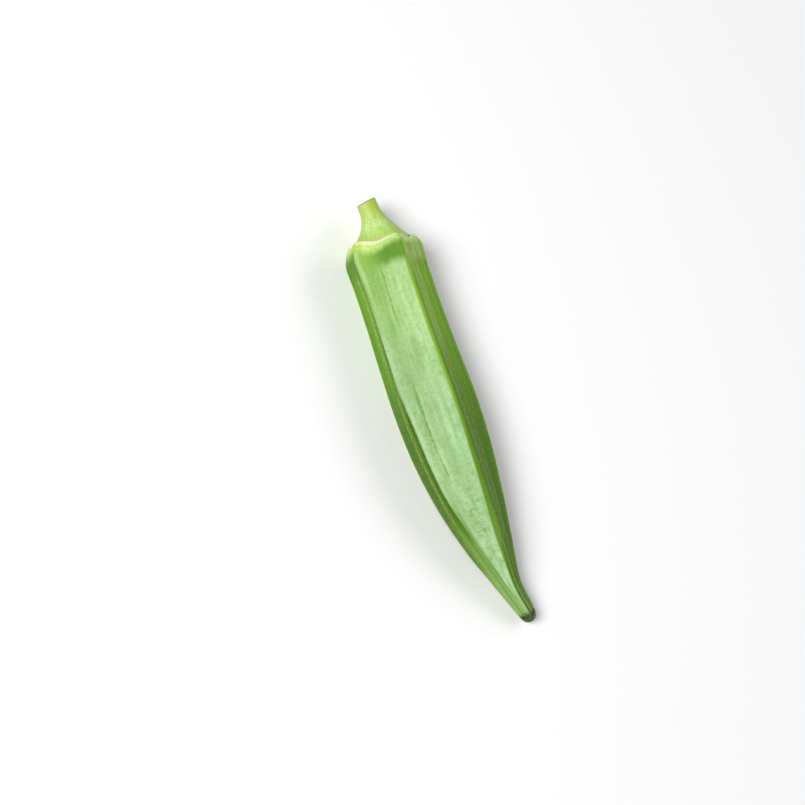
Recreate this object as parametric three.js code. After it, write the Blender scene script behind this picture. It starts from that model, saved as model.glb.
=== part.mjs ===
// Okra pod as picked: a seed pod with five ridges, the cap at its shoulder and a short cut stalk.
// It grew as one piece, so it is one closed body. Millimetres, +Z up.
// The pod lies on one of its five sides, along X, with the stalk at -X and the tip at +X.
// The origin is under the middle of the pod's box, on the surface that it rests on.

import * as THREE from "three";

// Lengths along the pod, measured from the shoulder rim
const podLength = 100;
const stalkLength = 10.6;
const capHeight = 9;
const shoulderHeight = 4;
const tipTaperStart = 84;
const nubLength = 2.6;
const nubSwingStart = 88;

// Radii, out to the ridges. The pod's are given at every tenth of its length.
const podRadii = [10.35, 9.9, 9.85, 10.1, 10.45, 10.3, 9.45, 7.85, 5.55, 2.9, 1.9];
const stalkRadius = 2.5;
const stalkEdge = 0.25;
const capRadius = 7.9;
const capFlare = 2.1;
const scarDepth = 0.3;
const rimRadius = 8.35;
const nubSwell = 0.5;

// The bow of the pod's axis. Sideways: its two inner control points, its end, the turn of the nub
// and the cap's shift. Upwards: its two inner control points and its two ends.
const sideBow = [-2.1, -8.5];
const tipSwing = 1.4;
const nubSwing = 1.0;
const capOffset = 0.9;
const archHeights = [7.7, 11.2];
const shoulderHeightAboveRest = 8.3;
const tipHeightAboveRest = 2.6;

// Section
const ridgeCount = 5;
const sideFlatness = 0.92;
const tipFlatness = 0.55;
const ridgeBeadHeight = 0.4;
const ridgeBeadWidth = 0.6;
const furrowDepth = 0.28;
const furrowPlace = 0.36;
const furrowWidth = 0.15;
const unevenness = 0.012;
const unevennessTurns = 2;
const unevennessLength = 10;

// Shoulder rim and cut end
const rimWave = 0.45;
const rimTilt = 0.9;
const rimTiltSide = 0.7 * Math.PI;
const rimWaveReach = 5;
const cutSlant = 0.12;

// Mesh fineness
const stripsPerSide = 14;
const stripCrowding = 0.75;
const podStep = 3;
const capSteps = 8;
const shoulderSteps = 6;
const nubSteps = 6;

const halfSide = Math.PI / ridgeCount;
const lowestSide = -Math.PI / 2;

// Rises smoothly from 0 to 1 between two places along the pod
function rise(along, from, to) {
  return THREE.MathUtils.smoothstep(along, from, to);
}

// Radius out to the ridges at a place along the pod, a smooth curve through podRadii
function podRadius(along) {
  const last = podRadii.length - 1;
  const place = THREE.MathUtils.clamp((along / podLength) * last, 0, last);
  const index = Math.min(Math.floor(place), last - 1);
  const f = place - index;
  const at = (i) => podRadii[THREE.MathUtils.clamp(i, 0, last)];
  const [before, start, end, after] = [at(index - 1), at(index), at(index + 1), at(index + 2)];
  const bend = 2 * before - 5 * start + 4 * end - after;
  const twist = 3 * start - before - 3 * end + after;
  return 0.5 * (2 * start + (end - before) * f + bend * f * f + twist * f * f * f);
}

// Half outline of the pod, from the middle of the stalk's cut to the end of the tip: radius and place along
function halfOutline() {
  const outline = [];
  const add = (radius, along) => outline.push(new THREE.Vector2(radius, along));

  // Cut stalk, with a small round at its edge
  add(0, -stalkLength);
  add(stalkRadius - stalkEdge, -stalkLength);
  add(stalkRadius, -stalkLength + stalkEdge);

  // Cap, flaring from the stalk to the rim
  for (let i = 0; i <= capSteps; i++) {
    const flare = i / capSteps;
    add(stalkRadius + (capRadius - stalkRadius) * flare ** capFlare, -capHeight * (1 - flare));
  }

  // Scar between cap and rim, then the rounded shoulder
  add(capRadius - scarDepth / 2, scarDepth);
  add(rimRadius - scarDepth, scarDepth / 2);
  for (let i = 0; i <= shoulderSteps; i++) {
    const turn = (i / shoulderSteps) * (Math.PI / 2);
    const along = scarDepth / 2 + shoulderHeight * (1 - Math.cos(turn));
    add(THREE.MathUtils.lerp(rimRadius, podRadius(along), Math.sin(turn)), along);
  }

  // Pod wall
  const wallEnd = podLength - nubLength;
  const wallStart = shoulderHeight + podStep / 2;
  const wallSteps = Math.round((wallEnd - wallStart) / podStep);
  for (let i = 0; i <= wallSteps; i++) {
    const along = THREE.MathUtils.lerp(wallStart, wallEnd, i / wallSteps);
    add(podRadius(along), along);
  }

  // Blunt nub at the tip
  for (let i = 1; i <= nubSteps; i++) {
    const turn = (i / nubSteps) * (Math.PI / 2);
    const along = wallEnd + nubLength * Math.sin(turn);
    const radius = podRadius(wallEnd) * Math.cos(turn) + nubSwell * Math.sin(2 * turn);
    add(i === nubSteps ? 0 : radius, along);
  }
  return outline;
}

// Axis of the pod: a cubic curve from the shoulder to the tip
const podAxis = new THREE.CubicBezierCurve3(
  new THREE.Vector3(0, 0, shoulderHeightAboveRest),
  new THREE.Vector3(podLength / 3, sideBow[0], archHeights[0]),
  new THREE.Vector3((podLength * 2) / 3, sideBow[1], archHeights[1]),
  new THREE.Vector3(podLength, tipSwing, tipHeightAboveRest),
);

// A point of the axis and its direction. Before the shoulder the axis straightens out along X into the stalk.
function axisAt(along) {
  const inPod = Math.max(along, 0) / podLength;
  const point = podAxis.getPoint(inPod);
  const slope = podAxis.getTangent(inPod);
  slope.divideScalar(slope.x);
  point.y += capOffset * (1 - rise(along, -shoulderHeight, shoulderHeight));
  point.y += nubSwing * rise(along, nubSwingStart, podLength);
  if (along < 0) {
    const before = Math.max(along, -capHeight);
    const eased = before + (before * before) / (2 * capHeight);
    point.set(along, point.y + slope.y * eased, point.z + slope.z * eased);
    const left = 1 + before / capHeight;
    slope.set(1, slope.y * left, slope.z * left);
  }
  return { point, direction: slope.normalize() };
}

// How far a surface point lies from the axis.
// The angle goes round the pod from the middle of the lowest side.
function sectionRadius(radius, along, angle) {
  const turns = angle / (2 * halfSide);
  const across = 2 * (turns - Math.round(turns));
  const straightSide = Math.cos(halfSide) / Math.cos(across * halfSide);

  const atTip = rise(along, tipTaperStart, podLength);
  const flatness = THREE.MathUtils.lerp(sideFlatness, tipFlatness, atTip);
  const sided = flatness * rise(along, -capHeight / 2, shoulderHeight);
  const uneven = unevenness * Math.sin(unevennessTurns * angle + along / unevennessLength);
  const grown = 1 + uneven * rise(along, 0, shoulderHeight);
  let result = radius * (1 - sided * (1 - straightSide)) * grown;

  const onWall = rise(along, 0, shoulderHeight) * (1 - rise(along, podLength - 2 * nubLength, podLength));
  const fromRidge = (1 - Math.abs(across)) * halfSide * podRadius(along);
  result += ridgeBeadHeight * onWall * Math.exp(-((fromRidge / ridgeBeadWidth) ** 2));

  const furrowed = rise(along, shoulderHeight, 3 * shoulderHeight) * (1 - atTip);
  const fromFurrow = (Math.abs(across) - furrowPlace) / furrowWidth;
  result -= furrowDepth * furrowed * Math.exp(-(fromFurrow ** 2));
  return radius === 0 ? 0 : result;
}

// The strips are narrow beside the ridges and wide in the middle of a side
function stripAngle(angle) {
  const turns = angle / (2 * halfSide);
  const side = Math.round(turns);
  const across = 2 * (turns - side);
  const crowded = THREE.MathUtils.lerp(across, Math.sin((across * Math.PI) / 2), stripCrowding);
  return (side + crowded / 2) * 2 * halfSide;
}

// Puts a point of the round, straight body on the sided, bowed one
function growPoint(point) {
  const radius = Math.hypot(point.x, point.z);
  const angle = stripAngle(Math.atan2(point.x, point.z));
  const nearRim = 1 - Math.min(Math.abs(point.y) / rimWaveReach, 1);
  const wave = rimWave * Math.cos(ridgeCount * angle) + rimTilt * Math.cos(angle - rimTiltSide);
  const along = point.y + wave * nearRim * nearRim * (radius / capRadius);

  const reach = sectionRadius(radius, point.y, angle);
  const { point: middle, direction } = axisAt(along);
  const sideways = new THREE.Vector3(0, 0, 1).cross(direction).normalize();
  const upwards = new THREE.Vector3().crossVectors(direction, sideways);
  const round = lowestSide - angle;
  const grown = middle
    .addScaledVector(sideways, -reach * Math.cos(round))
    .addScaledVector(upwards, reach * Math.sin(round));

  // The knife went through the stalk at a slight slant
  if (point.y < -capHeight) {
    grown.x += cutSlant * reach * Math.cos(round) * rise(-point.y, capHeight, stalkLength);
  }
  // The ridges that the pod lies on are pressed flat
  grown.z = Math.max(grown.z, 0);
  return grown;
}

function podGeometry() {
  const geometry = new THREE.LatheGeometry(halfOutline(), ridgeCount * stripsPerSide);
  geometry.deleteAttribute("normal");
  geometry.deleteAttribute("uv");
  const position = geometry.getAttribute("position");
  const point = new THREE.Vector3();
  for (let i = 0; i < position.count; i++) {
    point.fromBufferAttribute(position, i);
    const grown = growPoint(point);
    position.setXYZ(i, grown.x, grown.y, grown.z);
  }
  geometry.computeBoundingBox();
  const middle = geometry.boundingBox.getCenter(new THREE.Vector3());
  geometry.translate(-middle.x, -middle.y, 0);
  geometry.computeVertexNormals();
  return geometry;
}

const podSkin = new THREE.MeshStandardMaterial({ color: 0x8cbb5c, roughness: 0.6, metalness: 0 });

const okraPod = new THREE.Mesh(podGeometry(), podSkin);
okraPod.name = "okra_pod";

const part = new THREE.Group();
part.add(okraPod);

export default part;
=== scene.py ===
"""Okra pod as picked, lying on one of its five sides on a pale floor, seen from above."""
import math
import random

import bmesh
import bpy
from mathutils import Matrix, Vector, noise


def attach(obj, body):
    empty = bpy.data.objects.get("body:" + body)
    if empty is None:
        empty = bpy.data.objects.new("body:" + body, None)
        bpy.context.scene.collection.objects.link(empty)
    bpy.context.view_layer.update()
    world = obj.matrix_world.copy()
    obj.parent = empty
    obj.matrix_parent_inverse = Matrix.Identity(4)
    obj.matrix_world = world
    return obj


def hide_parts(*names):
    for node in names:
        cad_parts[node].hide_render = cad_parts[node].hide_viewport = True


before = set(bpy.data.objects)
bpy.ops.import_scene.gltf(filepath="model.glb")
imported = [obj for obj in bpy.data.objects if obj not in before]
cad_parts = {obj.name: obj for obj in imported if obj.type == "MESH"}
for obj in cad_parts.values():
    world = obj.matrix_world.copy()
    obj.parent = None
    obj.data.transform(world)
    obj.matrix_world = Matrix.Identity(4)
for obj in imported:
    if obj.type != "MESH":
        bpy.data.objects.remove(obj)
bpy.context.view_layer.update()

MM = 0.001

# The pod's form in millimetres, as in its solid. Lengths run from the shoulder rim.
POD_LENGTH = 100.0
STALK_LENGTH = 10.6
CAP_HEIGHT = 9.0
SHOULDER_HEIGHT = 4.0
TIP_TAPER_START = 84.0
NUB_LENGTH = 2.6
NUB_SWING_START = 88.0
POD_RADII = [10.35, 9.9, 9.85, 10.1, 10.45, 10.3, 9.45, 7.85, 5.55, 2.9, 1.9]
STALK_RADIUS = 2.5
STALK_EDGE = 0.25
CAP_RADIUS = 7.9
CAP_FLARE = 2.1
SCAR_DEPTH = 0.3
RIM_RADIUS = 8.35
NUB_SWELL = 0.2
SIDE_BOW = [-2.1, -8.5]
TIP_SWING = 1.4
NUB_SWING = 1.0
CAP_OFFSET = 0.9
ARCH_HEIGHTS = [7.7, 11.2]
SHOULDER_ABOVE_REST = 8.3
TIP_ABOVE_REST = 2.6
SIDES = 5
SIDE_FLATNESS = 0.92
TIP_FLATNESS = 0.55
RIDGE_BEAD_HEIGHT = 0.4
RIDGE_BEAD_WIDTH = 0.6
FURROW_DEPTH = 0.28
FURROW_PLACE = 0.36
FURROW_WIDTH = 0.15
UNEVENNESS = 0.012
UNEVENNESS_TURNS = 2
UNEVENNESS_LENGTH = 10.0
RIM_WAVE = 0.45
RIM_TILT = 0.9
RIM_TILT_SIDE = 0.7 * math.pi
RIM_WAVE_REACH = 5.0
CUT_SLANT = 0.12
STRIP_CROWDING = 0.75
HALF_SIDE = math.pi / SIDES
LOWEST_SIDE = -math.pi / 2

# What only the fine skin shows
RIM_LIP = 0.25
RIM_LIP_RADIUS = 8.55
RIM_LIP_WIDTH = 0.35
NUB_NECK = 0.14
NUB_ROUNDING = 0.35
VEIN_RELIEF = 0.06
SKIN_RELIEF = 0.05
STRIPS_A_SIDE = 44
WALL_STEP = 0.45


def rise(value, start, end):
    """Rises smoothly from 0 to 1 between two places."""
    part = min(max((value - start) / (end - start), 0.0), 1.0)
    return part * part * (3 - 2 * part)


def between(first, second, part):
    return first + (second - first) * part


def pod_radius(along):
    """Radius out to the ridges: a smooth curve through POD_RADII."""
    last = len(POD_RADII) - 1
    place = min(max(along / POD_LENGTH * last, 0.0), last)
    index = min(int(place), last - 1)
    f = place - index
    before, start, end, after = (POD_RADII[min(max(index + k, 0), last)] for k in (-1, 0, 1, 2))
    bend = 2 * before - 5 * start + 4 * end - after
    twist = 3 * start - before - 3 * end + after
    return 0.5 * (2 * start + (end - before) * f + bend * f * f + twist * f ** 3)


def half_outline():
    """Radius and place along, from the middle of the stalk's cut to the end of the tip."""
    outline = []

    # Cut face, its rounded edge and the straight stalk
    face = STALK_RADIUS - STALK_EDGE
    outline += [(face * k / 8, -STALK_LENGTH) for k in range(9)]
    for k in range(1, 4):
        turn = k / 3 * math.pi / 2
        along = -STALK_LENGTH + STALK_EDGE * (1 - math.cos(turn))
        outline.append((face + STALK_EDGE * math.sin(turn), along))
    wall = STALK_LENGTH - STALK_EDGE - CAP_HEIGHT
    outline += [(STALK_RADIUS, -CAP_HEIGHT - wall * (1 - k / 4)) for k in range(1, 4)]

    # Cap
    for k in range(33):
        flare = k / 32
        radius = STALK_RADIUS + (CAP_RADIUS - STALK_RADIUS) * flare ** CAP_FLARE
        outline.append((radius, -CAP_HEIGHT * (1 - flare)))

    # Scar under the cap's edge, then the rim's lip and the rounded shoulder
    outline.append((CAP_RADIUS - SCAR_DEPTH / 4, SCAR_DEPTH / 2))
    outline.append((CAP_RADIUS - SCAR_DEPTH / 2, SCAR_DEPTH))
    outline.append((CAP_RADIUS + SCAR_DEPTH / 4, SCAR_DEPTH * 0.9))
    outline.append((RIM_RADIUS - SCAR_DEPTH, SCAR_DEPTH / 2))
    for k in range(31):
        turn = k / 30 * math.pi / 2
        along = SCAR_DEPTH / 2 + SHOULDER_HEIGHT * (1 - math.cos(turn))
        radius = between(RIM_RADIUS, pod_radius(along), math.sin(turn))
        lip = RIM_LIP * math.exp(-(((radius - RIM_LIP_RADIUS) / RIM_LIP_WIDTH) ** 2))
        outline.append((radius, along - lip))

    # Wall, with a faint neck before the nub
    wall_end = POD_LENGTH - NUB_LENGTH
    wall_start = SHOULDER_HEIGHT + WALL_STEP
    steps = round((wall_end - wall_start) / WALL_STEP)
    for k in range(steps + 1):
        along = between(wall_start, wall_end, k / steps)
        neck = NUB_NECK * math.exp(-(((along - wall_end + 0.2) / 0.45) ** 2))
        outline.append((pod_radius(along) - neck, along))

    # Blunt nub
    for k in range(1, 15):
        turn = k / 14 * math.pi / 2
        neck = NUB_NECK * math.exp(-(((NUB_LENGTH * math.sin(turn) + 0.2) / 0.45) ** 2))
        radius = pod_radius(wall_end) * math.cos(turn) + NUB_SWELL * math.sin(2 * turn) - neck
        outline.append((0.0 if k == 14 else radius, wall_end + NUB_LENGTH * math.sin(turn)))
    return outline


def axis_at(along):
    """A point of the pod's axis and its direction. Before the shoulder it straightens out along X."""
    t = max(along, 0.0) / POD_LENGTH
    s = 1 - t
    ends = (
        Vector((0, 0, SHOULDER_ABOVE_REST)),
        Vector((POD_LENGTH / 3, SIDE_BOW[0], ARCH_HEIGHTS[0])),
        Vector((POD_LENGTH * 2 / 3, SIDE_BOW[1], ARCH_HEIGHTS[1])),
        Vector((POD_LENGTH, TIP_SWING, TIP_ABOVE_REST)),
    )
    point = ends[0] * s ** 3 + ends[1] * (3 * s * s * t) + ends[2] * (3 * s * t * t) + ends[3] * t ** 3
    slope = (ends[1] - ends[0]) * (s * s) + (ends[2] - ends[1]) * (2 * s * t) + (ends[3] - ends[2]) * (t * t)
    slope /= slope.x
    point.y += CAP_OFFSET * (1 - rise(along, -SHOULDER_HEIGHT, SHOULDER_HEIGHT))
    point.y += NUB_SWING * rise(along, NUB_SWING_START, POD_LENGTH)
    if along < 0:
        before = max(along, -CAP_HEIGHT)
        eased = before + before * before / (2 * CAP_HEIGHT)
        point = Vector((along, point.y + slope.y * eased, point.z + slope.z * eased))
        left = 1 + before / CAP_HEIGHT
        slope = Vector((1, slope.y * left, slope.z * left))
    return point, slope.normalized()


def skin_relief(along, angle, across, side):
    """Faint lengthwise veins and soft unevenness of the fine skin, in millimetres."""
    on_wall = rise(along, 1.0, 2 * SHOULDER_HEIGHT) * (1 - rise(along, 90.0, POD_LENGTH - NUB_LENGTH))
    veins = noise.noise(Vector((across * 5.5 + 20 * side, along / 22, 3.1)))
    veins += 0.6 * noise.noise(Vector((across * 12.0 + 20 * side, along / 9, 7.7)))
    soft = noise.noise(Vector((2.2 * math.sin(angle), 2.2 * math.cos(angle), along / 3.6)))
    return on_wall * (VEIN_RELIEF * veins * (1 - across * across) + SKIN_RELIEF * soft)


def section_radius(radius, along, angle):
    """How far the skin lies from the axis. The angle goes round from the middle of the lowest side."""
    turns = angle / (2 * HALF_SIDE)
    side = math.floor(turns + 0.5)
    across = 2 * (turns - side)
    straight_side = math.cos(HALF_SIDE) / math.cos(across * HALF_SIDE)
    at_tip = rise(along, TIP_TAPER_START, POD_LENGTH)
    flatness = between(SIDE_FLATNESS, TIP_FLATNESS, at_tip) - NUB_ROUNDING * rise(along, 96.5, 99.5)
    sided = flatness * rise(along, -CAP_HEIGHT / 2, SHOULDER_HEIGHT)
    on_pod = rise(along, 0, SHOULDER_HEIGHT)
    uneven = UNEVENNESS * math.sin(UNEVENNESS_TURNS * angle + along / UNEVENNESS_LENGTH)
    result = radius * (1 - sided * (1 - straight_side)) * (1 + uneven * on_pod)

    on_wall = on_pod * (1 - rise(along, POD_LENGTH - 2 * NUB_LENGTH, POD_LENGTH))
    from_ridge = (1 - abs(across)) * HALF_SIDE * pod_radius(along)
    result += RIDGE_BEAD_HEIGHT * on_wall * math.exp(-((from_ridge / RIDGE_BEAD_WIDTH) ** 2))

    furrowed = rise(along, SHOULDER_HEIGHT, 3 * SHOULDER_HEIGHT) * (1 - at_tip)
    from_furrow = (abs(across) - FURROW_PLACE) / FURROW_WIDTH
    result -= FURROW_DEPTH * furrowed * math.exp(-(from_furrow ** 2))
    return result + skin_relief(along, angle, across, side)


def strip_angle(angle):
    """The strips are narrow beside the ridges and wide in the middle of a side."""
    turns = angle / (2 * HALF_SIDE)
    side = math.floor(turns + 0.5)
    across = 2 * (turns - side)
    crowded = between(across, math.sin(across * math.pi / 2), STRIP_CROWDING)
    return (side + crowded / 2) * 2 * HALF_SIDE


def grown_point(radius, along, angle):
    """Where a point of the round, straight body lies on the sided, bowed one, in millimetres."""
    near_rim = 1 - min(abs(along) / RIM_WAVE_REACH, 1.0)
    wave = RIM_WAVE * math.cos(SIDES * angle) + RIM_TILT * math.cos(angle - RIM_TILT_SIDE)
    reach = section_radius(radius, along, angle) if radius > 0 else 0.0
    middle, direction = axis_at(along + wave * near_rim * near_rim * (radius / CAP_RADIUS))
    sideways = Vector((0, 0, 1)).cross(direction).normalized()
    upwards = direction.cross(sideways)
    turn = LOWEST_SIDE - angle
    grown = middle - sideways * (reach * math.cos(turn)) + upwards * (reach * math.sin(turn))
    if along < -CAP_HEIGHT:
        grown.x += CUT_SLANT * reach * math.cos(turn) * rise(-along, CAP_HEIGHT, STALK_LENGTH)
    grown.z = max(grown.z, 0.0)
    return grown


def body_middle(points):
    """Middle of a box round the points, on the floor."""
    xs = [p.x for p in points]
    ys = [p.y for p in points]
    return Vector(((min(xs) + max(xs)) / 2, (min(ys) + max(ys)) / 2, 0))


def finish_piece(bm, name, material):
    """Turns a bmesh into a smooth-shaded object in the scene."""
    mesh = bpy.data.meshes.new(name)
    bm.to_mesh(mesh)
    bm.free()
    mesh.shade_smooth()
    mesh.materials.append(material)
    piece = bpy.data.objects.new(name, mesh)
    bpy.context.scene.collection.objects.link(piece)
    return piece


def make_pod_skin(material):
    """The whole pod: its half outline spun round the straight axis, then grown into place."""
    bm = bmesh.new()
    bm.verts.layers.float.new("outline_length")
    bm.verts.layers.float_vector.new("straight_body")
    lengthwise = bm.verts.layers.float["outline_length"]
    straight = bm.verts.layers.float_vector["straight_body"]
    verts = [bm.verts.new((0, along, radius)) for radius, along in half_outline()]
    edges = [bm.edges.new(pair) for pair in zip(verts, verts[1:])]
    for before, vert in zip(verts, verts[1:]):
        vert[lengthwise] = before[lengthwise] + (vert.co - before.co).length
    whole = verts[-1][lengthwise]
    bmesh.ops.spin(
        bm, geom=verts + edges, cent=(0, 0, 0), axis=(0, 1, 0), dvec=(0, 0, 0),
        angle=2 * math.pi, steps=SIDES * STRIPS_A_SIDE, use_merge=True, use_duplicate=False,
    )
    bmesh.ops.remove_doubles(bm, verts=bm.verts, dist=1e-4)

    for vert in bm.verts:
        x, along, z = vert.co
        radius = math.hypot(x, z)
        angle = strip_angle(math.atan2(x, z))
        vert[straight] = (radius * math.sin(angle), along, radius * math.cos(angle))

    # The map runs round the pod and along its outline, from the cut to the tip
    chart = bm.loops.layers.uv.new("OFBake")
    for face in bm.faces:
        places = []
        for vert in face.verts:
            x, _, z = vert.co
            radius = math.hypot(x, z)
            u = math.atan2(x, z) / (2 * math.pi) + 0.5 if radius > 1e-4 else None
            places.append([u, vert[lengthwise] / whole])
        known = [u for u, _ in places if u is not None]
        if max(known) - min(known) > 0.5:
            places = [[u + 1 if u is not None and u < 0.5 else u, v] for u, v in places]
            known = [u for u, _ in places if u is not None]
        for loop, (u, v) in zip(face.loops, places):
            loop[chart].uv = (u if u is not None else sum(known) / len(known), v)

    grown = []
    for vert in bm.verts:
        x, along, z = vert[straight]
        grown.append(grown_point(math.hypot(x, z), along, math.atan2(x, z)))
    middle = body_middle(grown)
    for vert, point in zip(bm.verts, grown):
        vert.co = (point - middle) * MM
    bmesh.ops.recalc_face_normals(bm, faces=bm.faces)
    pod = finish_piece(bm, "okra_skin", material)
    return pod, middle


# Hairs
HAIR_SEED = 11
HAIR_COUNT = 32768
HAIR_WIDTH = 0.040


def hair_root(dice):
    """Place along, angle and length of one hair. The ridges and the strips below them have more."""
    along = dice.uniform(2.5, POD_LENGTH - NUB_LENGTH)
    half_width = HALF_SIDE * pod_radius(along)
    kind = dice.random()
    if kind < 0.22:
        side = dice.randrange(SIDES)
        across = dice.choice((-1, 1)) * (1 - min(abs(dice.gauss(0, 0.5)), 2.0) / half_width)
        length = dice.uniform(0.2, 0.55)
    elif kind < 0.40:
        side = 2
        across = 1 - dice.uniform(1.7, min(6.0, 1.8 * half_width)) / half_width
        length = dice.uniform(0.2, 0.45)
    elif kind < 0.50:
        side = -1
        along = dice.uniform(38, 92)
        half_width = HALF_SIDE * pod_radius(along)
        across = dice.uniform(1.2, min(4.5, 1.8 * half_width)) / half_width - 1
        length = dice.uniform(0.2, 0.5)
    else:
        side = dice.choice((-1, 0, 1, 2))
        across = dice.uniform(-1, 1)
        length = dice.uniform(0.2, 0.5)
    return along, (side + min(max(across, -1.0), 1.0) / 2) * 2 * HALF_SIDE, length


def planted_hair(dice, middle):
    """Matrix that stands a hair of unit size on the skin, or None where the pod touches the floor."""
    along, angle, length = hair_root(dice)
    radius = pod_radius(along)
    root = grown_point(radius, along, angle)
    ahead = grown_point(pod_radius(along + 0.2), along + 0.2, angle) - root
    round_pod = grown_point(radius, along, angle + 0.01) - root
    outwards = round_pod.cross(ahead).normalized()
    if outwards.dot(root - axis_at(along)[0]) < 0:
        outwards.negate()
    lean = Vector((dice.gauss(0, 0.45), dice.gauss(0, 0.45), dice.gauss(0, 0.45)))
    pointing = (outwards + lean + 0.25 * ahead.normalized()).normalized()
    tip = root + pointing * length
    if min(tip.z, root.z) < 0.08:
        return None
    turned = pointing.to_track_quat("Z", "X").to_matrix().to_4x4()
    size = Matrix.Diagonal((HAIR_WIDTH, HAIR_WIDTH, length, 1))
    return Matrix.Translation(root - middle - 0.03 * outwards) @ turned @ size


def make_hairs(material, middle):
    """The down on the skin: one three-sided hair, copied and planted all over the pod."""
    bm = bmesh.new()
    bmesh.ops.create_cone(
        bm, cap_ends=True, cap_tris=False, segments=3, radius1=0.5, radius2=0.0, depth=1.0,
        matrix=Matrix.Translation((0, 0, 0.5)),
    )
    bmesh.ops.remove_doubles(bm, verts=bm.verts, dist=1e-4)
    each = len(bm.verts)
    while len(bm.verts) < each * HAIR_COUNT:
        bmesh.ops.duplicate(bm, geom=bm.verts[:] + bm.edges[:] + bm.faces[:])
    dice = random.Random(HAIR_SEED)
    tips = [vert for vert in bm.verts if vert.co.z > 0.5]
    for tip in tips:
        place = planted_hair(dice, middle)
        while place is None:
            place = planted_hair(dice, middle)
        for vert in [tip] + [edge.other_vert(tip) for edge in tip.link_edges]:
            vert.co = (place @ vert.co) * MM
    return finish_piece(bm, "okra_down", material)


# Materials
class Wire:
    """A socket of a material, with the sums that its patterns need."""

    def __init__(self, paint, socket):
        self.paint = paint
        self.socket = socket

    def maths(self, operation, *others):
        values = dict(enumerate((self,) + others))
        return self.paint.add("ShaderNodeMath", {"operation": operation}, values)

    def __add__(self, other):
        return self.maths("ADD", other)

    __radd__ = __add__

    def __mul__(self, other):
        return self.maths("MULTIPLY", other)

    __rmul__ = __mul__

    def __sub__(self, other):
        return self.maths("SUBTRACT", other)

    def __rsub__(self, other):
        return self * -1 + other

    def __truediv__(self, other):
        return self.maths("DIVIDE", other)

    def __abs__(self):
        return self.maths("ABSOLUTE")

    def rise(self, start, end):
        """Rises smoothly from 0 to 1 between two values."""
        settings = {"interpolation_type": "SMOOTHSTEP"}
        return self.paint.add("ShaderNodeMapRange", settings, {0: self, 1: start, 2: end})

    def fall(self, start, end):
        """Falls smoothly from 1 to 0 between two values."""
        return 1 - self.rise(start, end)

    def hump(self, centre, width):
        """One at the centre, falling off smoothly on both sides."""
        far = (self - centre) / width
        return (far * far * -1).maths("EXPONENT")

    def most(self, other):
        return self.maths("MAXIMUM", other)

    def least(self, other):
        return self.maths("MINIMUM", other)


class Paint:
    """A material while its nodes are laid."""

    def __init__(self, name):
        self.material = bpy.data.materials.new(name)
        self.material.use_nodes = True
        self.tree = self.material.node_tree
        self.skin = self.tree.nodes["Principled BSDF"]

    def feed(self, socket, value):
        if isinstance(value, Wire):
            self.tree.links.new(value.socket, socket)
        else:
            socket.default_value = value

    def add(self, kind, settings, values, output=0):
        """Lays a node, sets it, feeds it, and gives back one of its outputs."""
        node = self.tree.nodes.new(kind)
        for name, setting in settings.items():
            setattr(node, name, setting)
        for socket, value in values.items():
            self.feed(node.inputs[socket], value)
        return Wire(self, node.outputs[output])

    def blend(self, factor, first, second):
        colours = [(*c, 1) if isinstance(c, tuple) else c for c in (first, second)]
        return self.add("ShaderNodeMix", {"data_type": "RGBA"}, {0: factor, 6: colours[0], 7: colours[1]}, 2)

    def apart(self, vector):
        """The three parts of a vector."""
        node = self.tree.nodes.new("ShaderNodeSeparateXYZ")
        self.feed(node.inputs[0], vector)
        return [Wire(self, part) for part in node.outputs]

    def stretched(self, vector, scale):
        return self.add("ShaderNodeVectorMath", {"operation": "MULTIPLY"}, {0: vector, 1: scale})

    def grain(self, vector, scale, detail=2.0, roughness=0.5):
        """Noise between about 0.25 and 0.75."""
        values = {"Vector": vector, "Scale": scale, "Detail": detail, "Roughness": roughness}
        return self.add("ShaderNodeTexNoise", {"noise_dimensions": "3D"}, values)

    def finish(self, **sockets):
        for name, value in sockets.items():
            self.feed(self.skin.inputs[name.replace("_", " ")], value)
        return self.material


LEAF_TOP = (0.130, 0.305, 0.012)
LEAF_BACK = (0.200, 0.440, 0.022)
LEAF_LOW = (0.060, 0.165, 0.006)
BLOOM_SHEEN_LEFT = (0.215, 0.400, 0.085)
BLOOM_SHEEN_RIGHT = (0.375, 0.58, 0.240)
BLOOM_SHEEN_LOW = (0.320, 0.510, 0.245)
BLOOM_SHADE = (0.240, 0.39, 0.170)
BLOOM_SHEEN_TIP = (0.450, 0.680, 0.400)
BLOOM_SHEEN_WHITE = (0.430, 0.610, 0.340)
FLECK_GREEN = (0.145, 0.30, 0.060)
DEEP_GREEN = (0.070, 0.18, 0.010)
LINE_GREEN = (0.035, 0.08, 0.006)
LIME = (0.165, 0.34, 0.012)
PALE_LINE_AND_CREST_HIGHLIGHT = (0.40, 0.59, 0.25)
DOWN_PALE = (0.170, 0.330, 0.060)
STRIP_OLIVE = (0.105, 0.215, 0.018)
LIME_LOW = (0.085, 0.205, 0.008)
TIP_GREEN = (0.190, 0.360, 0.085)
TIP_LIME = (0.275, 0.480, 0.140)
BLOOM_SHEEN_END = (0.310, 0.480, 0.210)
SLIVER_SHADE = (0.045, 0.130, 0.005)
STRAW = (0.350, 0.540, 0.125)
DOT_PALE = (0.500, 0.660, 0.330)
BAND_LEFT = (0.215, 0.40, 0.060)
BAND_RIGHT = (0.080, 0.215, 0.006)
LIP_LIME = (0.480, 0.680, 0.210)
LIP_YELLOW = (0.42, 0.52, 0.070)
CREAM_SPECK_AND_RIM_HIGHLIGHT = (0.68, 0.77, 0.440)
SCAR_TAN = (0.60, 0.43, 0.200)
SPECK_BROWN = (0.13, 0.085, 0.025)
CAP_LIGHT = (0.510, 0.690, 0.240)
CAP_GREEN = (0.400, 0.640, 0.130)
CAP_FLANK_SHADE = (0.410, 0.580, 0.130)
STALK_HIGHLIGHT = (0.450, 0.530, 0.190)
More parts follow.
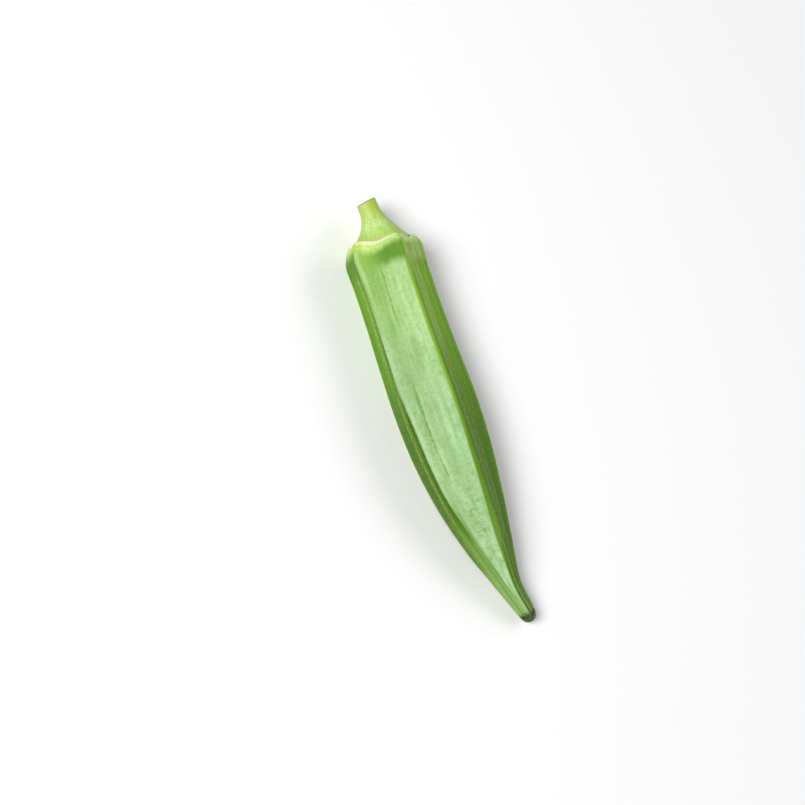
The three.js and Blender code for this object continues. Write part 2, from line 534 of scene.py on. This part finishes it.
STALK_LIME = (0.360, 0.47, 0.045)
CAP_MOTTLE_AND_SHADE = (0.270, 0.430, 0.060)
CUT_EDGE = (0.250, 0.290, 0.080)
PITH = (0.62, 0.68, 0.420)
PITH_RING = (0.42, 0.43, 0.200)
NUB_GREEN = (0.052, 0.095, 0.024)
NUB_DARK = (0.012, 0.030, 0.004)
NUB_END = (0.060, 0.055, 0.022)


class SkinPlace:
    """Where a point of the skin lies, read from the straight body in millimetres, and its noises."""

    def __init__(self, paint):
        body = paint.add("ShaderNodeAttribute", {"attribute_name": "straight_body"}, {}, "Vector")
        x, self.along, z = paint.apart(body)
        self.radius = (x * x + z * z).maths("SQRT")
        self.sideways = x / self.radius.most(0.1)
        turns = x.maths("ARCTAN2", z) / (2 * HALF_SIDE)
        side = turns.maths("ROUND")
        self.across = (turns - side) * 2
        self.from_ridge = (1 - abs(self.across)) * self.radius * HALF_SIDE

        # The front is the side that faces up to the left in the picture. It lies between the low
        # ridge and the top ridge, and its distance from either is below zero past that ridge.
        self.from_low = (turns * -1 - 1.5) * self.radius * (2 * HALF_SIDE)
        self.from_top = (x * -1).maths("ARCTAN2", z * -1) * self.radius
        self.on_front = abs(side + 2).fall(0.4, 0.6)
        self.on_back = abs(side - 2).fall(0.4, 0.6)
        self.on_lower = abs(side + 1).fall(0.4, 0.6)

        self.streaks = paint.grain(paint.stretched(body, (1, 0.07, 1)), 1.1, 3.0)
        self.patches = paint.grain(paint.stretched(body, (1, 0.25, 1)), 0.35, 2.0)
        self.dashes = paint.grain(paint.stretched(body, (0.42, 2.0, 0.42)), 1.0, 3.0, 0.65)
        self.mottle = paint.grain(body, 1.3, 4.0, 0.65)
        self.clouds = paint.grain(body, 0.42, 3.0, 0.6)
        self.fine = paint.grain(body, 4.0, 2.0)
        self.specks = paint.grain(body, 2.6, 1.0)
        self.veils = paint.grain(paint.stretched(body, (1, 0.20, 1)), 0.50, 2.5, 0.6)
        self.dots = paint.grain(paint.stretched(body, (0.9, 2.6, 0.9)), 1.0, 2.0, 0.75)


def wall_colour(paint, at):
    """Leaf green all round, and on the front the pale bloom with its flecks and streaks, partly the pod's own
    wax bloom and partly a painted sheen where the front faces the key light.
    """
    leaf = paint.blend(at.along.rise(8, 60), paint.blend(at.on_back, LEAF_TOP, LEAF_BACK), LEAF_LOW)
    leaf = paint.blend(at.streaks.rise(0.45, 0.65) * 0.35, leaf, DEEP_GREEN)
    leaf = paint.blend(at.fine.rise(0.52, 0.70) * 0.25, leaf, LIME)
    # Painted shade on the lower side from a third of the way along
    leaf = paint.blend(at.on_lower * at.along.rise(34, 50) * 0.8, leaf, SLIVER_SHADE)
    leaf = paint.blend(at.along.rise(70, 84) * (1 - at.on_back) * (1 - at.on_lower) * 0.6, leaf, TIP_GREEN)
    leaf = paint.blend(at.along.rise(80, 91) * at.on_lower * 0.8, leaf, TIP_LIME)
    faint = at.patches.rise(0.42, 0.66) * at.from_ridge.rise(1.5, 4.0) * (1 - at.on_back) * (1 - at.on_lower)
    leaf = paint.blend(faint * 0.35, leaf, BLOOM_SHEEN_LOW)

    # Pale front: the pod's own bloom, made paler still by painted sheen
    high = paint.blend(at.across.rise(-0.5, 0.65), BLOOM_SHEEN_RIGHT, BLOOM_SHEEN_LEFT)
    low = paint.blend(at.along.rise(68, 92), BLOOM_SHEEN_LOW, BLOOM_SHEEN_TIP)
    pale = paint.blend(at.along.rise(12, 44), high, low)
    shaded = at.across.rise(-0.5, 0.3) * at.along.rise(20, 34) * at.along.fall(42, 56)
    pale = paint.blend(shaded * 0.5, pale, BLOOM_SHADE)
    pale = paint.blend(at.veils.rise(0.46, 0.66) * at.along.rise(8, 26) * 0.35, pale, BLOOM_SHEEN_WHITE)
    pale = paint.blend(at.veils.fall(0.36, 0.54) * 0.22, pale, FLECK_GREEN)
    pale = paint.blend(at.streaks.rise(0.46, 0.66) * 0.22, pale, FLECK_GREEN)
    pale = paint.blend(at.mottle.rise(0.48, 0.68) * 0.36, pale, FLECK_GREEN)
    pale = paint.blend(at.dashes.rise(0.52, 0.72) * at.patches.rise(0.40, 0.56) * 0.40, pale, FLECK_GREEN)
    pale = paint.blend(at.fine.rise(0.54, 0.70) * 0.22, pale, CREAM_SPECK_AND_RIM_HIGHLIGHT)

    # Wrinkles that run across it towards the tip
    wrinkled = at.along.rise(60, 67) * at.along.fall(80, 88) * at.across.fall(0.3, 0.7)
    wrinkled = wrinkled * at.clouds.rise(0.42, 0.62)
    pale = paint.blend(wrinkled * at.dashes.rise(0.42, 0.66) * 0.65, pale, FLECK_GREEN)

    # Small blots beside the low ridge
    blots = at.from_low.hump(2.4, 1.6) * at.along.rise(34, 40) * at.along.fall(52, 60)
    pale = paint.blend(blots * at.dots.rise(0.56, 0.64) * 0.7, pale, FLECK_GREEN)

    # Longer dark streaks
    wobble = (at.mottle - 0.5) * 0.10 + (at.clouds - 0.5) * 0.10
    first = (at.across - at.along * 0.006 + wobble).hump(0.105, 0.035)
    first = first * at.along.rise(5, 8) * at.along.fall(19, 24)
    second = (at.across + wobble).hump(0.45, 0.050) * at.along.rise(34, 40) * at.along.fall(50, 56)
    third = (at.across + wobble).hump(0.41, 0.030) * at.along.rise(54, 55.5) * at.along.fall(58, 60)
    pale = paint.blend((first + second + third) * at.mottle.rise(0.3, 0.5) * 0.95, pale, FLECK_GREEN)
    softer = at.clouds.rise(0.50, 0.66) * at.along.rise(6, 12) * 0.20
    pale = paint.blend(softer, pale, FLECK_GREEN)

    # The edges of the bloom and its painted sheen. Along the pod they draw in from the ridges, and the nub
    # brings them back.
    low_edge = at.from_low + (at.streaks - 0.5) * 0.5 + (at.mottle - 0.5) * 0.4 + 0.1
    low_edge = low_edge - at.along.rise(32, 48) * 0.65 - at.along.rise(62, 80) * 1.1
    low_edge = low_edge + at.along.rise(88, 97) * 0.9
    top_edge = at.from_top + (at.mottle - 0.5) * 0.3
    top_edge = top_edge - at.along.rise(44, 64) * 0.35 - at.along.rise(66, 74) * 0.3
    top_edge = top_edge + at.along.rise(74, 95) * 0.6
    beside = low_edge.hump(0.45, 0.35) * at.along.rise(16, 30) * at.along.fall(60, 84)
    pale = paint.blend(beside * 0.4, pale, BLOOM_SHEEN_WHITE)
    pale = paint.blend(at.along.rise(87, 94), pale, BLOOM_SHEEN_END)
    # Own bloom and painted sheen cover the front between these edges
    bloom = low_edge.rise(-0.15, 0.2) * top_edge.rise(0.15, 0.6) * at.on_front
    return paint.blend(bloom, leaf, pale)


def low_ridge_lines(paint, at, colour):
    """Beside the low ridge: a painted highlight on the crest at first, then a dark line that moves on to the
    front.
    """
    place = at.from_low + (at.mottle - 0.5) * 0.2
    on_wall = at.along.rise(3, 6)
    past = place * -1

    # A broad band of painted shade below the crest, and a pale line down the middle of the lower side
    shade_below_crest = past.rise(0.0, 0.5) * past.fall(2.6, 4.4) * at.along.fall(34, 48)
    colour = paint.blend(shade_below_crest * on_wall * 0.6, colour, DEEP_GREEN)
    middle = at.on_lower * at.across.hump(-0.15, 0.14) * on_wall * at.along.fall(26, 40)
    colour = paint.blend(middle * at.dots.rise(0.40, 0.62) * 0.45, colour, PALE_LINE_AND_CREST_HIGHLIGHT)
    # Painted highlight along the crest near the shoulder
    crest = place.hump(0.60, 0.32) * at.along.rise(1.5, 3) * at.along.fall(6, 34)
    colour = paint.blend(crest * 0.75, colour, PALE_LINE_AND_CREST_HIGHLIGHT)

    # Down on the lower side, nearer to the crest towards the tip
    downy = past.rise(1.2, 2.2) * past.fall(2.8, 4.4) * at.along.rise(46, 58) * at.along.fall(66, 76)
    nearer = past.rise(1.4, 2.4) * at.along.rise(66, 78) * at.along.fall(92, 97) * at.on_lower
    downy = downy.most(nearer)
    colour = paint.blend(downy * 0.15, colour, DOWN_PALE)
    colour = paint.blend(downy * at.dots.rise(0.52, 0.66) * 0.35, colour, DOT_PALE)

    # Lime between the line and the bloom, and the line itself
    lime = place.rise(-1.8, -0.8) * place.fall(1.6, 2.3) * at.along.rise(60, 74) * 0.75
    tip = paint.blend(at.along.rise(80, 90), TIP_GREEN, TIP_LIME)
    colour = paint.blend(lime, colour, paint.blend(at.along.rise(68, 80), LIME_LOW, tip))
    moved = at.along.rise(28, 42) * 1.4 + at.along.rise(40, 52) * 0.35 + at.along.rise(60, 74) * 0.30
    moved = moved - at.along.rise(80, 94) * 0.25 - 1.3
    line = (place - moved).hump(0, 0.19) + (place - moved - 0.1).hump(-0.5, 0.6) * at.along.fall(34, 42)
    line = line.least(1) * at.along.rise(16, 30) * (1 - at.along.rise(52, 80) * 0.5)
    colour = paint.blend(line * (0.60 + at.streaks.rise(0.4, 0.6) * 0.35), colour, LINE_GREEN)
    inner = (place + at.along.rise(92, 97) * 0.4).hump(1.5, 0.16) * at.along.rise(80, 86)
    colour = paint.blend(inner * 0.4, colour, LINE_GREEN)
    rubbed = place.rise(-2.2, -1.2) * place.fall(-0.2, 0.2) * at.along.rise(23, 27) * at.along.fall(34, 38)
    return paint.blend(rubbed * at.dots.rise(0.48, 0.56) * 0.7, colour, SPECK_BROWN)


def top_ridge_lines(paint, at, colour):
    """A lime crest on the top ridge, painted as a highlight. Behind it a dark line of painted shade and a
    downy strip.
    """
    on_wall = at.along.rise(2.5, 6)
    front = at.from_top
    behind = at.from_top * -1 + (at.mottle - 0.5) * 0.3
    wide = at.along.rise(50, 72) * 0.5 - at.along.rise(74, 95) * 0.5
    # Painted highlight: the lime crest stands for the lit side of the ridge's bead
    lime = front.rise(-1.2, -0.7) * (front - wide).fall(0.25, 0.60) * on_wall
    green = paint.blend(at.along.rise(36, 56), LIME, LIME_LOW)
    colour = paint.blend(lime * 0.9, colour, paint.blend(at.along.rise(64, 76) * 0.25, green, TIP_GREEN))
    strip = behind.rise(1.3, 2.1) * behind.fall(4.6, 6.4) * on_wall
    olive = paint.blend(at.along.rise(18, 44), STRAW, STRIP_OLIVE)
    colour = paint.blend(strip * 0.6, colour, olive)
    colour = paint.blend(strip * 0.15, colour, DOWN_PALE)
    colour = paint.blend(strip * at.fine.rise(0.54, 0.64) * at.along.rise(20, 40) * 0.4, colour, LINE_GREEN)
    brightest = behind.hump(2.9, 1.3) * on_wall
    colour = paint.blend(brightest * at.dots.rise(0.52, 0.66) * 0.35, colour, DOT_PALE)
    shaded = behind.hump(5.6, 1.0) * at.along.rise(20, 40) * at.along.fall(66, 80)
    colour = paint.blend(shaded * 0.3, colour, DEEP_GREEN)
    # Painted shade in a dark line behind the crest
    dark = behind.rise(0.8, 1.1) * behind.fall(1.5, 2.2) * on_wall
    colour = paint.blend(dark * (0.30 + at.along.rise(24, 50) * 0.5), colour, DEEP_GREEN)
    colour = paint.blend(front.hump(0.30, 0.16) * at.along.rise(74, 82) * 0.8, colour, LINE_GREEN)
    # Painted highlight on the crest towards the tip
    colour = paint.blend(behind.hump(0.35, 0.2) * at.along.rise(76, 84) * 0.6, colour, PALE_LINE_AND_CREST_HIGHLIGHT)
    outer = behind.rise(0.6, 0.8) * behind.fall(1.0, 1.6) * at.along.rise(76, 84)
    return paint.blend(outer * 0.7, colour, LINE_GREEN)


def other_ridge_lines(paint, at, colour):
    """The ridges at the back and underneath: a lime crest with a painted highlight between dark feet of
    painted shade.
    """
    near_low = at.from_low.rise(-5.0, -4.0) * at.from_low.fall(4.0, 5.0)
    near_top = at.from_top.rise(-5.0, -4.0) * at.from_top.fall(4.0, 5.0)
    other = 1 - near_low.most(near_top)
    # Painted shade at the feet of the ridges, then a painted highlight on their lime crests
    colour = paint.blend(at.from_ridge.hump(1.0, 0.45) * other * 0.6, colour, DEEP_GREEN)
    colour = paint.blend(at.from_ridge.hump(0, 0.35) * other * 0.75, colour, LIME)
    downy = at.from_ridge.fall(0.3, 1.2) * other * at.dots.rise(0.50, 0.62)
    return paint.blend(downy * 0.5, colour, DOWN_PALE)


def shoulder_colour(paint, at, colour):
    """A green band under the rim, the rim's lime lip with a painted highlight along its edge, and the scar
    behind it.
    """
    ragged = (at.mottle - 0.5) * 1.6 + (at.streaks - 0.5) * 3.0
    band = paint.blend(at.on_front * at.across.rise(-0.3, 0.75), BAND_RIGHT, BAND_LEFT)
    band = paint.blend(at.on_back * 0.8, band, LIP_LIME)
    band = paint.blend(at.fine.rise(0.5, 0.7) * 0.3, band, LIME)
    colour = paint.blend((at.along + ragged).fall(5.4, 8.2) * 0.92, colour, band)
    # Painted highlight on the low ridge's crest at the shoulder
    crest = at.from_low.hump(0.5, 0.40) * at.along.rise(1.2, 2.4) * at.along.fall(5, 12)
    colour = paint.blend(crest * 0.7, colour, PALE_LINE_AND_CREST_HIGHLIGHT)
    striped = at.on_back * at.along.rise(0.8, 1.6) * at.along.fall(8, 15)
    colour = paint.blend(striped * at.streaks.rise(0.50, 0.58) * 0.65, colour, STRAW)
    colour = paint.blend(striped * at.streaks.fall(0.40, 0.48) * 0.45, colour, DEEP_GREEN)
    notch = at.from_top.hump(-0.8, 0.3) * at.along.rise(0.8, 1.2) * at.along.fall(2.2, 3.2)
    colour = paint.blend(notch * 0.8, colour, DEEP_GREEN)
    corner = at.from_ridge.fall(0.8, 2.6)
    lip = paint.blend(corner * (0.2 + at.from_low.hump(0, 3.0) * 0.5), LIP_LIME, LIP_YELLOW)
    lip = paint.blend(at.mottle.rise(0.44, 0.62) * 0.3, lip, band)
    fuller = at.on_front * at.across.hump(0.20, 0.50) * 1.2
    colour = paint.blend((at.along + ragged * 0.3 - fuller).fall(0.6, 2.9), colour, lip)
    # Painted highlight along the rim's edge
    rim_highlight = (at.along + (at.mottle - 0.5) * 0.6 - fuller * 0.35).fall(0.20, 0.75)
    colour = paint.blend(rim_highlight * (0.6 + at.on_front * 0.35 - corner * 0.3), colour, CREAM_SPECK_AND_RIM_HIGHLIGHT)
    strongest = at.on_front * at.across.hump(0.15, 0.45) * 0.7 + 0.3
    scar = at.radius.rise(CAP_RADIUS - 1.0, CAP_RADIUS - 0.3) * at.radius.fall(RIM_RADIUS, RIM_RADIUS + 0.15)
    scar = scar * at.along.rise(-1.1, -0.5) * at.along.fall(0.35, 0.6)
    return paint.blend(scar * strongest * at.mottle.rise(0.30, 0.50), colour, SCAR_TAN)


def cap_colour(paint, at, colour):
    """The cap and the stalk, with a painted highlight to the left and painted olive shade to the right, and
    the stalk's cut.
    """
    cap = paint.blend(at.along.rise(-4.0, -1.0), CAP_LIGHT, CAP_GREEN)
    # Painted shade on the right flank of the cap
    cap = paint.blend(at.sideways.rise(-0.15, 0.5), cap, CAP_FLANK_SHADE)
    # Painted highlight down the left of the stalk
    stalk = paint.blend(at.sideways.hump(-0.80, 0.35), STALK_LIME, STALK_HIGHLIGHT)
    cap = paint.blend(at.along.fall(-8.5, -4.5), cap, stalk)
    # Darker streaks, mottling and clouds: the cap's own uneven tone
    cap = paint.blend(at.streaks.rise(0.46, 0.64) * 0.30, cap, CAP_MOTTLE_AND_SHADE)
    cap = paint.blend(at.mottle.rise(0.46, 0.64) * 0.28, cap, CAP_MOTTLE_AND_SHADE)
    cap = paint.blend(at.clouds.rise(0.50, 0.62) * 0.30, cap, CAP_MOTTLE_AND_SHADE)
    cap = paint.blend(at.fine.rise(0.52, 0.66) * 0.22, cap, CREAM_SPECK_AND_RIM_HIGHLIGHT)
    cap = paint.blend(at.specks.rise(0.68, 0.74) * 0.6, cap, DEEP_GREEN)
    # Painted shade at the cap's turned-away left edge
    cap = paint.blend(at.sideways.fall(-1.0, -0.88) * 0.4, cap, CAP_MOTTLE_AND_SHADE)
    on_cap = at.along.fall(-0.12, 0.05) * at.radius.fall(CAP_RADIUS, CAP_RADIUS + 0.1)
    tan = on_cap * at.along.rise(-0.85, -0.35) * at.sideways.fall(-0.5, 0.1) * at.mottle.rise(0.3, 0.5)
    colour = paint.blend(on_cap, colour, paint.blend(tan * 0.85, cap, SCAR_TAN))

    edge = at.along.fall(-STALK_LENGTH + 0.15, -STALK_LENGTH + 0.45)
    cut = paint.blend(at.radius.hump(1.6, 0.3), PITH, PITH_RING)
    cut = paint.blend(at.radius.rise(1.85, 2.1), cut, STALK_LIME)
    cut = paint.blend(at.radius.rise(2.1, 2.3), cut, CUT_EDGE)
    return paint.blend(edge, colour, cut)


def nub_colour(paint, at, colour):
    """The nub: near black where it starts, dull green after it, brownish at its end."""
    start = at.along + (at.clouds - 0.5) * 1.2
    dull = paint.blend(at.mottle.rise(0.44, 0.60) * 0.25, NUB_GREEN, TIP_GREEN)
    dull = paint.blend((at.along + (at.mottle - 0.5) * 1.5).rise(99.2, 99.9) * 0.7, dull, NUB_END)
    colour = paint.blend(start.rise(96.5, 97.7) * 0.95, colour, dull)
    return paint.blend(start.hump(97.8, 0.55) * at.clouds.rise(0.35, 0.50) * 0.85, colour, NUB_DARK)


def skin_paint():
    """Green skin with its bloom and painted sheen, ridge lines with painted highlights and shade, shoulder,
    cap and nub, and a fine grain.
    """
    paint = Paint("okra_skin_green")
    at = SkinPlace(paint)
    colour = wall_colour(paint, at)
    for lay in (low_ridge_lines, top_ridge_lines, other_ridge_lines, shoulder_colour, cap_colour, nub_colour):
        colour = lay(paint, at, colour)
    dull = 0.52 + (at.mottle - 0.5) * 0.30
    height = at.fine * 0.05 + at.mottle * 0.07 + at.streaks * 0.06
    bump = paint.add("ShaderNodeBump", {}, {"Strength": 1.0, "Distance": MM, "Height": height})
    return paint.finish(
        Base_Color=colour, Roughness=dull, Normal=bump, IOR=1.38, Specular_IOR_Level=0.12,
        Subsurface_Weight=0.06, Subsurface_Scale=0.001,
    )


def down_paint():
    """Pale down."""
    return Paint("okra_down_pale").finish(Base_Color=(0.40, 0.55, 0.13, 1), Roughness=0.6)


def floor_paint():
    paint = Paint("studio_floor")
    place = paint.add("ShaderNodeTexCoord", {}, {}, "Object")
    colour = paint.blend(paint.grain(place, 3.0), (0.85, 0.85, 0.85), (0.87, 0.87, 0.87))
    return paint.finish(Base_Color=colour, Roughness=0.5)


# Studio
CAMERA_LEAN = 0.0436
CAMERA_TURN = 1.0315
CAMERA_ROLL = -1.1766
CAMERA_DISTANCE = 500.0
CAMERA_AIM = Vector((5.0, 0.0, 8.0))
CAMERA_SHIFT = (-11.214, 7.427)
LENS_PIXELS = 2050.8
PHOTO_PIXELS = 805
SENSOR = 36.0
NEAREST_SEEN = 0.01
FLOOR_SIZE = 1.5
SKY_STRENGTH = 0.25


def make_camera():
    """Looks down on the pod, rolled so that its length runs as it does in the photograph."""
    lean, turn, roll = CAMERA_LEAN, CAMERA_TURN, CAMERA_ROLL
    back = Vector((math.sin(lean), -math.cos(lean) * math.cos(turn), math.cos(lean) * math.sin(turn)))
    lengthwise = (Vector((1, 0, 0)) - math.sin(lean) * back).normalized()
    across = Vector((0, math.sin(turn), math.cos(turn)))
    right = math.cos(roll) * lengthwise - math.sin(roll) * across
    up = back.cross(right).normalized()
    right = up.cross(back)
    place = CAMERA_AIM + CAMERA_DISTANCE * back + CAMERA_SHIFT[0] * right + CAMERA_SHIFT[1] * up
    data = bpy.data.cameras.new("camera")
    data.sensor_width = SENSOR
    data.lens = LENS_PIXELS / PHOTO_PIXELS * SENSOR
    data.clip_start = NEAREST_SEEN
    camera = bpy.data.objects.new("camera", data)
    camera.matrix_world = Matrix.Translation(place * MM) @ Matrix((right, up, back)).transposed().to_4x4()
    bpy.context.scene.collection.objects.link(camera)
    bpy.context.scene.camera = camera


def make_light(name, direction, distance, size, watts, colour=(1, 1, 1)):
    data = bpy.data.lights.new(name, "AREA")
    data.shape = "DISK"
    data.size = size
    data.energy = watts
    data.color = colour
    light = bpy.data.objects.new(name, data)
    direction = Vector(direction).normalized()
    light.location = direction * distance
    light.rotation_euler = direction.to_track_quat("Z", "Y").to_euler()
    bpy.context.scene.collection.objects.link(light)


def make_studio():
    bm = bmesh.new()
    bmesh.ops.create_grid(bm, x_segments=1, y_segments=1, size=FLOOR_SIZE)
    floor = finish_piece(bm, "studio_floor", floor_paint())
    make_light("key", (-0.15, -0.68, 0.66), 0.9, 0.40, 8.6)
    make_light("fill", (0.1, 0.8, 0.62), 1.4, 1.6, 10.0)
    world = bpy.data.worlds.new("studio")
    world.use_nodes = True
    background = world.node_tree.nodes["Background"]
    background.inputs["Color"].default_value = (1, 1, 1, 1)
    background.inputs["Strength"].default_value = SKY_STRENGTH
    bpy.context.scene.world = world
    bpy.context.scene.view_settings.view_transform = "Standard"


make_camera()
make_studio()
pod, pod_middle = make_pod_skin(skin_paint())
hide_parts("okra_pod")
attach(pod, "root")
hairs = make_hairs(down_paint(), pod_middle)
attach(hairs, "root")
